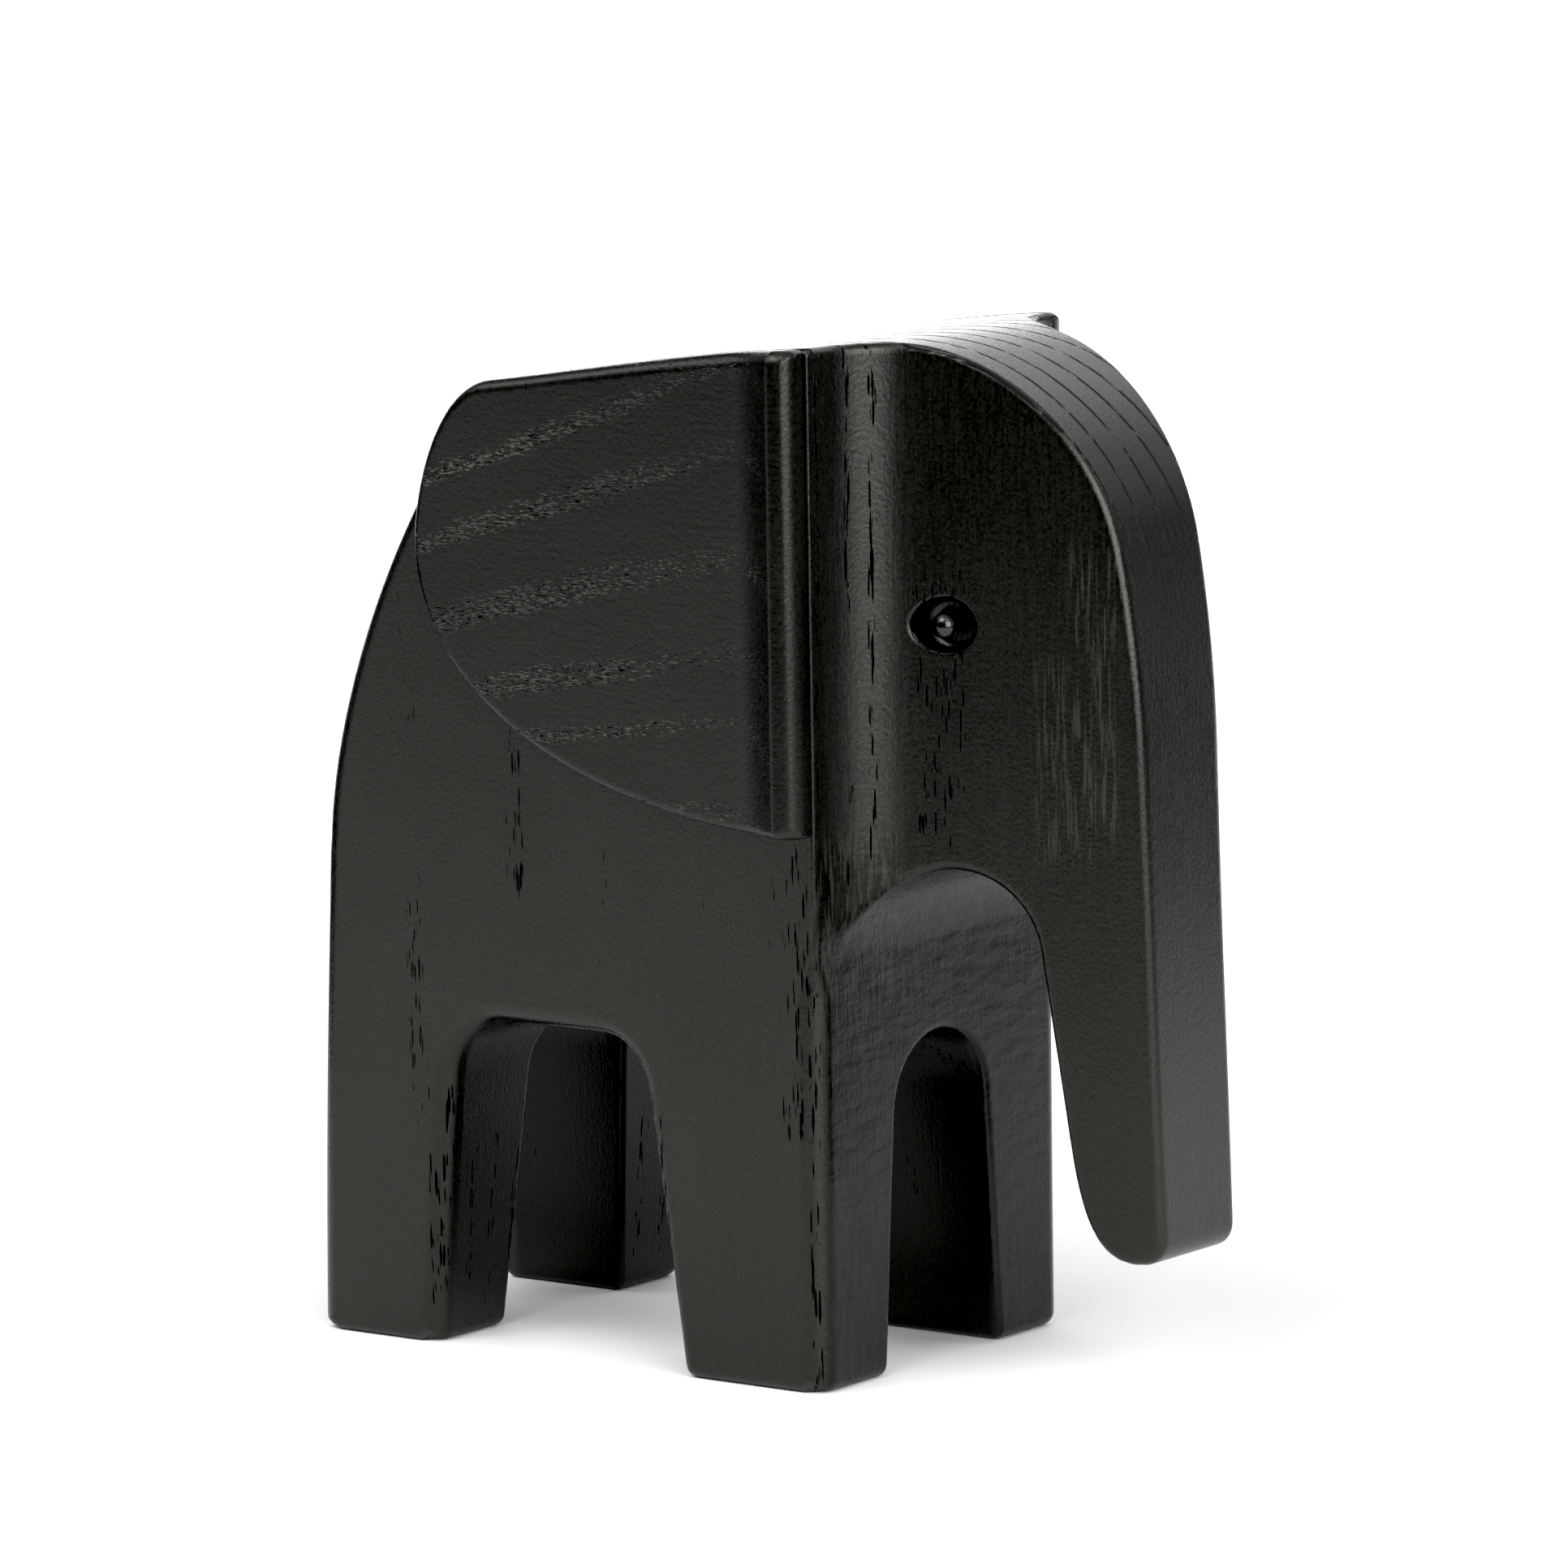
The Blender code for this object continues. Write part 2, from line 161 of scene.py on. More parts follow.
def side_outline():
    """Outline in X and Z, with the radius of the rim at each point.

    The pairs inside a curve's call are the pulls that shape it at its two ends.
    """
    foot = FOOT_CORNER
    rump = curve((RUMP, 0.0), (0.3, 22.0), (-0.9, -19.0), RUMP_BEND, 40)
    upper = curve(RUMP_BEND, (1.1, 28.5), (-4.2, -0.5), BACK_END, 60)
    brow_end = 90.0 - BROW_TURN
    brow = arc((CROWN_X, HEIGHT - BROW_RADIUS), BROW_RADIUS, 90.0, brow_end, 60)
    unit = np.array((math.cos(math.radians(brow_end)), math.sin(math.radians(brow_end))))
    trunk = arc(np.array(brow[-1]) - TRUNK_RADIUS * unit, TRUNK_RADIUS, brow_end,
                TRUNK_END_ANGLE, 22)
    tip = arc((TRUNK - TIP_RADIUS, TRUNK_TIP_Z + TIP_RADIUS), TIP_RADIUS, 0.0, -90.0, 12)
    rear = curve(TRUNK_REAR[0], (-6.2, 0.0), (1.3, -9.4), TRUNK_REAR[1], 30)
    chin = arc(CHIN, CHIN_RADIUS, 5.0, 178.0, 60)
    spring = ARCH_TOP - ARCH_RADIUS
    pull = ARCH_PULL * ARCH_RADIUS
    lean = ARCH_LEAN * pull
    arch_front = curve((ARCH_HEAD[1], spring), (-lean, pull), (pull, 0.0),
                       (ARCH_HEAD[1] - ARCH_RADIUS, ARCH_TOP), 20)
    arch_rear = curve((ARCH_HEAD[0] + ARCH_RADIUS, ARCH_TOP), (-pull, 0.0), (lean, pull),
                      (ARCH_HEAD[0], spring), 20)
    shin = [(0.0, CHIN[1] - 4.0), (0.0, foot + 2.0)]
    front_sole = [(-2.0 * foot, 0.0), (ARCH_FOOT[1] + 2.0 * foot, 0.0)]
    rear_sole = [(ARCH_FOOT[0] - 2.0 * foot, 0.0), (RUMP + 2.0 * foot, 0.0)]
    points = tagged(rump[3:], 2.6) + tagged(upper, 2.8, 1.2) + tagged(back_line(30), 0.6, 0.9)
    points += tagged(brow, 0.9, 1.15) + tagged(trunk, 1.15, 1.2) + tagged(tip, 1.3)
    points += tagged(rear, 1.0, 0.9) + tagged(chin, 0.9, 1.0) + tagged(shin, SHIN_RIM)
    points += corner(shin[-1], (0.0, 0.0), front_sole[0], foot, SHIN_RIM)
    points += tagged(front_sole, SOLE_RIM)
    points += corner(front_sole[-1], (ARCH_FOOT[1], 0.0), arch_front[0], foot, 1.3)
    points += tagged(arch_front, 1.3, 2.0) + tagged(arch_rear, 2.2, 2.9)
    points += corner(arch_rear[-1], (ARCH_FOOT[0], 0.0), rear_sole[0], foot, 2.9)
    points += tagged(rear_sole, SOLE_RIM)
    points += corner(rear_sole[-1], (RUMP, 0.0), rump[3], foot, 2.6)
    return clean(points)


def plan_outline():
    """Outline in X and Y: full width behind the face, coves, then the tapering head."""
    turned = 90.0 - math.degrees(HEAD_TAPER)
    cove = arc((COVE_RADIUS, -HALF), COVE_RADIUS, 180.0, 180.0 - turned, 40)
    end_x, end_y = cove[-1]
    reach = TRUNK + BEYOND
    nose = (reach, end_y + (reach - end_x) * math.tan(HEAD_TAPER))
    back = (RUMP - BEYOND, -HALF)
    front = (-3.0, -HALF)
    right = tagged([back, (-20.0, -HALF), front], 0.0)
    right += corner(front, (0.0, -HALF), cove[3], COVE_EDGE, 0.0)
    right += tagged([p for p in cove if p[1] > -HALF + 0.6] + [nose], 0.0)
    return clean(right + [(x, -y, r) for x, y, r in reversed(right)])


def tunnel_outline():
    """Outline in Y and Z of the tunnel between the left and right legs."""
    left_wall = [(TUNNEL_FOOT, 0.0), (TUNNEL_FOOT + 0.9, -10.0)]
    right_wall = [(-u, v) for u, v in left_wall]
    top = arc((0.0, TUNNEL_Z), TUNNEL_RADIUS, 0.0, 180.0, 60)
    return clean(tagged(top + right_wall + left_wall[::-1], 0.0))


def ear_side_outline():
    """Outline in X and Z of an ear, with the radius of its outer rim."""
    edge_foot = curve((0.0, EAR_FOOT_Z), (-28.9, 0.0), (0.0, -21.2), EAR_REAR, 60)
    edge_top = curve(EAR_REAR, (0.0, 7.3), (-7.1, -7.1 * BACK_SLOPE), BACK_END, 30)
    back = [point for point in back_line(60) if point[0] < -2.5]
    top_front = corner(back[-1], (0.0, HEIGHT - 0.05), (0.0, 110.0), 0.5, 1.7)
    low_front = corner((0.0, 90.0), (0.0, EAR_FOOT_Z), edge_foot[2], 0.6, 1.3)
    return clean(tagged(edge_foot[2:], 1.0, 0.9) + tagged(edge_top, 1.0, 1.5)
                 + tagged(back, 1.5, 1.8) + top_front + low_front)


def ear_plan_outline():
    """Outline in X and distance from the mid-plane: flat board, hollow ramp and rolled lip."""
    board = HALF + EAR_BOARD
    start, end = LIP_RAMP
    t = np.linspace(0.0, 1.0, 25)
    rise = (EAR_CREST - board) * t ** LIP_RAMP_POWER
    ramp = list(zip(start + t * (end - start), board + rise))
    pull = 0.48 * LIP_REACH
    lip = curve((-LIP_REACH, EAR_CREST), (pull, 0.0), (0.0, pull), (0.0, EAR_CREST - LIP_REACH), 30)
    deep = HALF - 12.0
    rear = EAR_REAR[0] - BEYOND
    return clean(tagged([(rear, deep), (rear, board)] + ramp + lip + [(0.0, deep)], 0.0))


def clean(points):
    """Drops each point that repeats the one before it, also across the outline's start."""
    least = 0.02
    kept = []
    for point in points:
        if not kept or math.dist(point[:2], kept[-1][:2]) > least:
            kept.append(point)
    if math.dist(kept[0][:2], kept[-1][:2]) <= least:
        kept.pop()
    return np.array(kept, float)


class Outline:
    """Signed distance to a closed outline, negative inside, with smooth outward normals."""

    def __init__(self, points, smooth=35.0):
        self.start = points[:, :2]
        self.step = np.roll(self.start, -1, axis=0) - self.start
        self.length2 = (self.step ** 2).sum(1)
        self.radius = points[:, 2]
        turn = (self.start * np.roll(self.start, -1, axis=0)[:, ::-1] * (1, -1)).sum()
        flat = self.step[:, ::-1] * (1, -1) / np.sqrt(self.length2)[:, None]
        self.flat = flat if turn > 0 else -flat
        before = np.roll(self.flat, 1, axis=0)
        joined = before + self.flat
        joined /= np.linalg.norm(joined, axis=1)[:, None]
        sharp = (before * self.flat).sum(1) < math.cos(math.radians(smooth))
        self.head = np.where(sharp[:, None], self.flat, joined)
        self.tail = np.where(np.roll(sharp, -1)[:, None], self.flat, np.roll(joined, -1, axis=0))

    def __call__(self, u, v):
        shape = np.shape(u)
        points = np.stack([np.ravel(u), np.ravel(v)], 1)
        found = np.empty((len(points), 4))
        block = 4000
        for low in range(0, len(points), block):
            found[low:low + block] = self.measure(points[low:low + block])
        return [found[:, i].reshape(shape) for i in range(4)]

    def measure(self, points):
        """Distance, outward direction (two numbers) and rounding radius for each point."""
        step, start = self.step.astype(np.float32), self.start.astype(np.float32)
        near = points.astype(np.float32)
        du = near[:, 0, None] - start[:, 0]
        dv = near[:, 1, None] - start[:, 1]
        t = np.clip((du * step[:, 0] + dv * step[:, 1]) / self.length2.astype(np.float32), 0, 1)
        nearest = ((du - t * step[:, 0]) ** 2 + (dv - t * step[:, 1]) ** 2).argmin(1)
        away = points - self.start[nearest]
        t = np.clip((away * self.step[nearest]).sum(1) / self.length2[nearest], 0.0, 1.0)
        away -= t[:, None] * self.step[nearest]
        normal = (1 - t[:, None]) * self.head[nearest] + t[:, None] * self.tail[nearest]
        normal /= np.linalg.norm(normal, axis=1)[:, None]
        side = np.where((away * normal).sum(1) < 0, -1.0, 1.0)
        following = np.roll(self.radius, -1)[nearest]
        radius = (1 - t) * self.radius[nearest] + t * following
        return np.column_stack([side * np.linalg.norm(away, axis=1), normal, radius])


# ---------------------------------------------------------------- solids as fields

def meet(first, second, radius):
    """Intersection of two fields whose common edge is rounded. A field is (value, gradient)."""
    a, ga = first
    b, gb = second
    u = np.maximum(a + radius, 0.0)
    v = np.maximum(b + radius, 0.0)
    both = np.hypot(u, v)
    rounded = (u > 0) & (v > 0)
    value = np.where(rounded, both - radius, np.maximum(a, b))
    if ga is None:
        return value, None
    safe = np.maximum(both, 1e-9)[..., None]
    mixed = (u[..., None] * ga + v[..., None] * gb) / safe
    hard = np.where((a > b)[..., None], ga, gb)
    return value, np.where(rounded[..., None], mixed, hard)


def mix(first, second, weight):
    """The first field where weight is 0 and the second where it is 1."""
    a, ga = first
    b, gb = second
    value = a + (b - a) * weight
    if ga is None:
        return value, None
    return value, ga + (gb - ga) * weight[..., None]


def smooth_step(low, high, value):
    """0 below low and 1 above high, with an even change between them."""
    t = np.clip((value - low) / (high - low), 0.0, 1.0)
    return t * t * (3 - 2 * t)


def spread(axes, field, slopes):
    """Value and gradient of a flat outline's field. axes are the two axes it lies in."""
    distance, first, second, radius = field
    if not slopes:
        return distance, None, radius
    gradient = np.zeros(distance.shape + (3,))
    gradient[..., axes[0]] = first
    gradient[..., axes[1]] = second
    return distance, gradient, radius


SIDE = Outline(side_outline())
PLAN = Outline(plan_outline())
TUNNEL = Outline(tunnel_outline())
EAR_SIDE = Outline(ear_side_outline())
EAR_PLAN = Outline(ear_plan_outline(), smooth=25.0)


def head_half_width(x):
    """Distance from the mid-plane to the head's tapering side."""
    turned = math.pi / 2 - HEAD_TAPER
    end_x = COVE_RADIUS * (1.0 - math.cos(turned))
    end_y = HALF - COVE_RADIUS * math.sin(turned)
    return end_y - (x - end_x) * math.tan(HEAD_TAPER)


def hand_wander(x, y, z):
    """Slight unevenness of hand sanding."""
    return 0.05 * (np.sin(x / 9.0 + 1.3) * np.sin(z / 13.0 + y / 17.0)
                   + np.sin(x / 5.3 - z / 8.7 + 2.0) * np.sin(y / 6.1 + 0.4) * 0.6)


def pocket(x, y, z, slopes):
    """Oval eye pocket on both sides: negative inside it."""
    half_length, half_height, depth = POCKET
    surface = head_half_width(EYE[0])
    across = (x - EYE[0]) / half_length
    up = (z - EYE[1]) / half_height
    ring = np.sqrt(across ** 2 + up ** 2) + 1e-6
    below = np.abs(y) - (surface - depth)
    wall = (ring - 1.0) * 4.0 - 0.12 * (np.abs(y) - surface)
    floor = -below
    if not slopes:
        return meet((wall, None), (floor, None), 1.1)
    side = np.sign(y)
    gradient = np.stack([4.0 * across / ring / half_length, -0.12 * side,
                         4.0 * up / ring / half_height], -1)
    gradient /= np.linalg.norm(gradient, axis=-1)[..., None]
    down = np.zeros_like(gradient)
    down[..., 1] = -side
    return meet((wall, gradient), (floor, down), 1.1)


def opposite(field):
    """The field of everything outside."""
    value, gradient = field
    return -value, None if gradient is None else -gradient


def block_field(x, y, z, side, plan, tunnel, slopes=False):
    """The carved block. side, plan and tunnel are the outlines' fields at these points."""
    shape, shape_slope, rim = spread((0, 2), side, slopes)
    wide, wide_slope, _ = spread((0, 1), plan, slopes)
    space, space_slope, _ = spread((1, 2), tunnel, slopes)
    shape = shape + hand_wander(x, y, z)
    wide = wide + 0.6 * hand_wander(z, x, y)
    outer = np.sign(y)[..., None] * np.array((0.0, 1.0, 0.0)) if slopes else None
    flank = (np.abs(y) - HALF + 0.6 * hand_wander(z, x, y), outer)
    shape, wide = np.broadcast_arrays(shape, wide)
    body = meet((shape, shape_slope), flank, rim)
    headed = meet((shape, shape_slope), (wide, wide_slope), np.minimum(rim, HEAD_RIM))
    rear = smooth_step(-2.0, -14.0, x + 0 * z)
    headed = mix(headed, body, rear + 0 * shape)
    leg = (1.0 - smooth_step(50.0, 58.0, z)) * (x < CHIN[0])
    solid = mix(headed, body, np.broadcast_to(leg, shape.shape))
    near = np.broadcast_to(x < CHIN[0], shape.shape)
    hollow = (np.where(near, -space, -50.0), None if not slopes else -space_slope)
    solid = meet(solid, hollow, 0.9)
    eye_hole = opposite(pocket(x, y, z, slopes))
    return meet(solid, eye_hole, 0.3)


def ear_field(x, y, z, side, plan, slopes=False):
    """Right or left ear, by the sign of y."""
    shape, shape_slope, rim = spread((0, 2), side, slopes)
    thick, thick_slope, _ = spread((0, 1), plan, slopes)
    shape = shape + 0.5 * hand_wander(x, y, z)
    if slopes:
        thick_slope = thick_slope * np.stack([np.ones_like(y), np.sign(y), np.ones_like(y)], -1)
        inward = -np.sign(y)[..., None] * np.array((0.0, 1.0, 0.0))
    shape, thick = np.broadcast_arrays(shape, thick)
    solid = meet((shape, shape_slope), (thick, thick_slope), rim)
    inner = (HALF + SEAM - np.abs(y) + 0 * shape, inward if slopes else None)
    return meet(solid, inner, 0.12)


# ---------------------------------------------------------------- meshes from fields

def spaced(low, high, coarse, bands=()):
    """Grid lines from low to high, finer inside each (low, high, step) band."""
    lines, position = [], low
    while position < high:
        lines.append(position)
        step = coarse
        for start, end, fine in bands:
            if start - coarse <= position < end:
                step = fine
        position += step
    return np.array(lines + [position])


def polygonise(xs, ys, zs, field):
    """Quads of the surface where the field on the grid is zero: one vertex in each cell."""
    inside = field < 0
    shape = tuple(n - 1 for n in field.shape)
    count = np.zeros(shape, np.uint8)
    corners = [(i, j, k) for i in (0, 1) for j in (0, 1) for k in (0, 1)]
    for i, j, k in corners:
        count += inside[i:i + shape[0], j:j + shape[1], k:k + shape[2]]
    cells = np.argwhere((count > 0) & (count < 8))
    index = np.full(shape, -1, np.int32)
    index[tuple(cells.T)] = np.arange(len(cells))
    total = np.zeros((len(cells), 3))
    hits = np.zeros(len(cells))
    for a in corners:
        for axis in range(3):
            if a[axis]:
                continue
            b = tuple(c + (n == axis) for n, c in enumerate(a))
            pa, pb = cells + a, cells + b
            fa, fb = field[tuple(pa.T)], field[tuple(pb.T)]
            cut = (fa < 0) != (fb < 0)
            pa, pb = pa[cut], pb[cut]
            t = (fa[cut] / (fa[cut] - fb[cut]))[:, None]
            first = np.column_stack([xs[pa[:, 0]], ys[pa[:, 1]], zs[pa[:, 2]]])
            second = np.column_stack([xs[pb[:, 0]], ys[pb[:, 1]], zs[pb[:, 2]]])
            total[cut] += first + t * (second - first)
            hits[cut] += 1
    points = total / hits[:, None]
    quads = []
    for axis in range(3):
        near = [slice(None)] * 3
        far = [slice(None)] * 3
        near[axis], far[axis] = slice(0, -1), slice(1, None)
        a, b = inside[tuple(near)], inside[tuple(far)]
        edges = np.argwhere(a != b)
        u, v = [n for n in range(3) if n != axis]
        keep = (edges[:, u] > 0) & (edges[:, v] > 0)
        keep &= (edges[:, u] < shape[u]) & (edges[:, v] < shape[v])
        edges = edges[keep]
        ring = []
        for du, dv in ((1, 1), (0, 1), (0, 0), (1, 0)):
            cell = edges.copy()
            cell[:, u] -= du
            cell[:, v] -= dv
            ring.append(index[tuple(cell.T)])
        faces = np.column_stack(ring)
        outward = a[tuple(edges.T)]
        if axis == 1:
            outward = ~outward
        faces[~outward] = faces[~outward][:, ::-1]
        quads.append(faces)
    return points, np.vstack(quads)


def fine_mesh(name, points, quads, measure, material):
    """A mesh object whose vertices are moved onto the exact surface, with its normals."""
    for _ in range(2):
        value, gradient = measure(points)
        size2 = np.maximum((gradient ** 2).sum(1), 0.25)
        step = np.clip(value / size2, -0.25, 0.25)
        points = points - step[:, None] * gradient
    normals = measure(points)[1]
    normals /= np.linalg.norm(normals, axis=1)[:, None]
    placed = (points + (FACE, 0.0, 0.0)) * MM
    mesh = bpy.data.meshes.new(name)
    mesh.vertices.add(len(placed))
    mesh.vertices.foreach_set("co", placed.ravel())
    mesh.loops.add(quads.size)
    mesh.loops.foreach_set("vertex_index", quads.ravel().astype(np.int32))
    mesh.polygons.add(len(quads))
    mesh.polygons.foreach_set("loop_start", np.arange(0, quads.size, 4, dtype=np.int32))
    mesh.update(calc_edges=True)
    mesh.validate()
    mesh.polygons.foreach_set("use_smooth", np.ones(len(quads), bool))
    mesh.normals_split_custom_set_from_vertices(normals)
    piece = bpy.data.objects.new(name, mesh)
    bpy.context.scene.collection.objects.link(piece)
    mesh.materials.append(material)
    return piece


def make_block(material):
    coarse = 0.55
    surface = head_half_width(EYE[0])
    xs = spaced(RUMP - 1.2, TRUNK + 1.2, coarse, [(EYE[0] - 5.4, EYE[0] + 5.4, 0.24)])
    ys = spaced(0.0, HALF + 1.2, coarse, [(surface - 3.4, surface + 0.8, 0.24)])
    ys = np.concatenate([-ys[:0:-1], ys])
    zs = spaced(-1.1, HEIGHT + 1.1, coarse, [(EYE[1] - 4.8, EYE[1] + 4.8, 0.24)])
    flat_side = [f[:, None, :] for f in SIDE(*np.meshgrid(xs, zs, indexing="ij"))]
    flat_plan = [f[:, :, None] for f in PLAN(*np.meshgrid(xs, ys, indexing="ij"))]
    flat_tunnel = [f[None, :, :] for f in TUNNEL(*np.meshgrid(ys, zs, indexing="ij"))]
    x, y, z = xs[:, None, None], ys[None, :, None], zs[None, None, :]
    value, _ = block_field(x, y, z, flat_side, flat_plan, flat_tunnel)

    def measure(p):
        px, py, pz = p.T
        return block_field(px, py, pz, SIDE(px, pz), PLAN(px, py), TUNNEL(py, pz), True)

    points, quads = polygonise(xs, ys, zs, value)
    return fine_mesh("carved_block", points, quads, measure, material)


def make_ear(name, side, material):
    xs = spaced(EAR_REAR[0] - 1.0, 1.0, 0.45, [(LIP_RAMP[0], 1.0, 0.3)])
    ys = np.sort(side * spaced(HALF - 0.3, EAR_CREST + 0.7, 0.3))
    zs = spaced(EAR_FOOT_Z - 1.0, HEIGHT + 1.0, 0.45)
    flat_side = [f[:, None, :] for f in EAR_SIDE(*np.meshgrid(xs, zs, indexing="ij"))]
    flat_plan = [f[:, :, None] for f in EAR_PLAN(*np.meshgrid(xs, np.abs(ys), indexing="ij"))]
    x, y, z = xs[:, None, None], ys[None, :, None], zs[None, None, :]
    value, _ = ear_field(x, y, z, flat_side, flat_plan)

    def measure(p):
        px, py, pz = p.T
        return ear_field(px, py, pz, EAR_SIDE(px, pz), EAR_PLAN(px, np.abs(py)), True)

    points, quads = polygonise(xs, ys, zs, value)
    return fine_mesh(name, points, quads, measure, material)


def make_eye(name, side, material):
    """Ball-headed peg, turned about its own axis."""
    neck = 0.9                          # radius of the peg's shank
    rings, segments = 26, 48
    turn = np.linspace(0.0, math.pi - math.asin(neck / BALL_RADIUS), rings)
    profile = [(BALL_RADIUS * math.sin(a), BALL_RADIUS * math.cos(a)) for a in turn[1:]]
    depth = EYE_HIGH.y - EYE_LOW.y - BALL_RADIUS
    profile += [(neck, -depth)]
    vertices = [(0.0, 0.0, BALL_RADIUS)]
    for radius, height in profile:
        for step in range(segments):
            angle = 2 * math.pi * step / segments
            vertices.append((radius * math.cos(angle), radius * math.sin(angle), height))
    vertices.append((0.0, 0.0, -depth))
    faces = [(0, 1 + s, 1 + (s + 1) % segments) for s in range(segments)]
    for ring in range(len(profile) - 1):
        base = 1 + ring * segments
        for s in range(segments):
            t = (s + 1) % segments
            faces.append((base + s, base + segments + s, base + segments + t, base + t))
    base = 1 + (len(profile) - 1) * segments
    faces += [(base + s, len(vertices) - 1, base + (s + 1) % segments) for s in range(segments)]
    mesh = bpy.data.meshes.new(name)
    mesh.from_pydata(vertices, [], faces)
    matrix = Matrix.Rotation(math.radians(-90.0 * side), 4, "X")
    place = Vector((FACE + EYE[0], side * head_half_width(EYE[0]), EYE[1])) * MM
    mesh.transform(Matrix.Translation(place) @ matrix @ Matrix.Scale(MM, 4))
    mesh.shade_smooth()
    mesh.materials.append(material)
    piece = bpy.data.objects.new(name, mesh)
    bpy.context.scene.collection.objects.link(piece)
    return piece


# ---------------------------------------------------------------- materials

class Shader:
    """A small helper that adds nodes to a material and links them."""

    def __init__(self, name):
        self.material = bpy.data.materials.new(name)
        self.material.use_nodes = True
        self.tree = self.material.node_tree
        self.surface = self.tree.nodes["Principled BSDF"]

    def node(self, kind, inputs=None, **settings):
        made = self.tree.nodes.new(kind)
        for key, value in settings.items():
            setattr(made, key, value)
        for key, value in (inputs or {}).items():
            self.put(made.inputs[key], value)
        return made

    def put(self, socket, value):
        """Links a node or a socket to the socket, or sets a plain value there."""
        if isinstance(value, bpy.types.NodeSocket):
            self.tree.links.new(value, socket)
        elif isinstance(value, bpy.types.Node):
            self.tree.links.new(value.outputs[0], socket)
        else:
            socket.default_value = value

    def math(self, operation, *values):
        """The result of one of Blender's maths operations."""
        made = self.node("ShaderNodeMath", operation=operation)
        for socket, value in zip(made.inputs, values):
            self.put(socket, value)
        return made.outputs[0]

    def add(self, *values):
        total = values[0]
        for value in values[1:]:
            total = self.math("ADD", total, value)
        return total

    def times(self, *values):
        total = values[0]
        for value in values[1:]:
            total = self.math("MULTIPLY", total, value)
        return total

    def band(self, value, low, high, start=0.0, end=1.0):
        """Smooth change from start to end as value goes from low to high."""
        made = self.node("ShaderNodeMapRange", interpolation_type="SMOOTHSTEP")
        for key, number in (("Value", value), ("From Min", low), ("From Max", high),
                            ("To Min", start), ("To Max", end)):
            self.put(made.inputs[key], number)
        return made.outputs[0]

    def place(self):
        """Coordinates in millimetres, with X from the body's front face."""
        coordinates = self.node("ShaderNodeTexCoord").outputs["Object"]
        scaled = self.node("ShaderNodeVectorMath", operation="SCALE")
        self.put(scaled.inputs[0], coordinates)
        scaled.inputs["Scale"].default_value = 1.0 / MM
        shifted = self.node("ShaderNodeVectorMath", operation="SUBTRACT")
        self.put(shifted.inputs[0], scaled.outputs[0])
        shifted.inputs[1].default_value = (FACE, 0.0, 0.0)
        parts = self.node("ShaderNodeSeparateXYZ", {"Vector": shifted.outputs[0]})
        return parts.outputs[0], parts.outputs[1], parts.outputs[2]

    def vector(self, x, y, z):
        return self.node("ShaderNodeCombineXYZ", {"X": x, "Y": y, "Z": z}).outputs[0]

    def stretched(self, place, sizes, offset=0.0):
        """The place divided by a size in millimetres along each axis."""
        values = [self.math("MULTIPLY_ADD", axis, 1.0 / size, offset)
                  for axis, size in zip(place, sizes)]
        return self.vector(*values)

    def noise(self, place, sizes, detail=2.0, roughness=0.5, offset=0.0):
        made = self.node("ShaderNodeTexNoise", {
            "Vector": self.stretched(place, sizes, offset), "Scale": 1.0, "Detail": detail,
            "Roughness": roughness})
        return made.outputs[0]

    def cells(self, place, sizes):
        """Distance to the nearest of scattered points, and a random number for each."""
        made = self.node("ShaderNodeTexVoronoi", {
            "Vector": self.stretched(place, sizes), "Scale": 1.0}, feature="F1")
        split = self.node("ShaderNodeSeparateColor", {"Color": made.outputs["Color"]})
        return made.outputs["Distance"], split.outputs[0]

    def rings(self, distance, positions):
        """0 at each ring's start, rising to 1 at the next: a saw through the positions."""
        low, high = positions[0], positions[-1]
        level = self.node("ShaderNodeMapRange", {
            "Value": distance, "From Min": low, "From Max": high})
        ramp = self.node("ShaderNodeValToRGB", {"Fac": level.outputs[0]})
        stops = ramp.color_ramp.elements
        last = len(positions) - 1
        for i, position in enumerate(positions):
            share = (position - low) / (high - low)
            grey = (i / last,) * 3 + (1.0,)
            if i == 0:
                stops[0].position, stops[0].color = share, grey
            elif i == last:
                stops[-1].position, stops[-1].color = share, grey
            else:
                stops.new(share).color = grey
        count = self.times(ramp.outputs[0], float(last))
        return self.math("FRACT", count)

    def tint(self, factor, dark, light):
        """A colour between two fixed ones."""
        made = self.node("ShaderNodeMix", data_type="RGBA")
        self.put(made.inputs[0], factor)
        made.inputs[6].default_value = (*dark, 1.0)
        made.inputs[7].default_value = (*light, 1.0)
        return made.outputs[2]

    def tint_over(self, factor, below, colour):
        """A fixed colour laid over another node's colour."""
        made = self.node("ShaderNodeMix", data_type="RGBA")
        self.put(made.inputs[0], factor)
        self.put(made.inputs[6], below)
        made.inputs[7].default_value = (*colour, 1.0)
        return made.outputs[2]

    def stain(self, fibre, cloud, mottle):
        """The black stain, a little lighter where it took less well."""
        tone = self.add(self.times(fibre, 0.3), self.times(cloud, 0.3), self.times(mottle, 0.4))
        return self.tint(self.band(tone, 0.38, 0.62), STAIN_DARK, STAIN_LIGHT)

    def polish(self):
        """The fixed part of the wood's shine."""
        self.surface.inputs["IOR"].default_value = WOOD_IOR
        self.surface.inputs["Specular Tint"].default_value = WOOD_SHEEN

    def bump(self, height, distance):
        """Relief as deep as the distance in millimetres where height changes by 1."""
        made = self.node("ShaderNodeBump", {
            "Height": height, "Strength": 1.0, "Distance": distance * MM})
        self.tree.links.new(made.outputs[0], self.surface.inputs["Normal"])


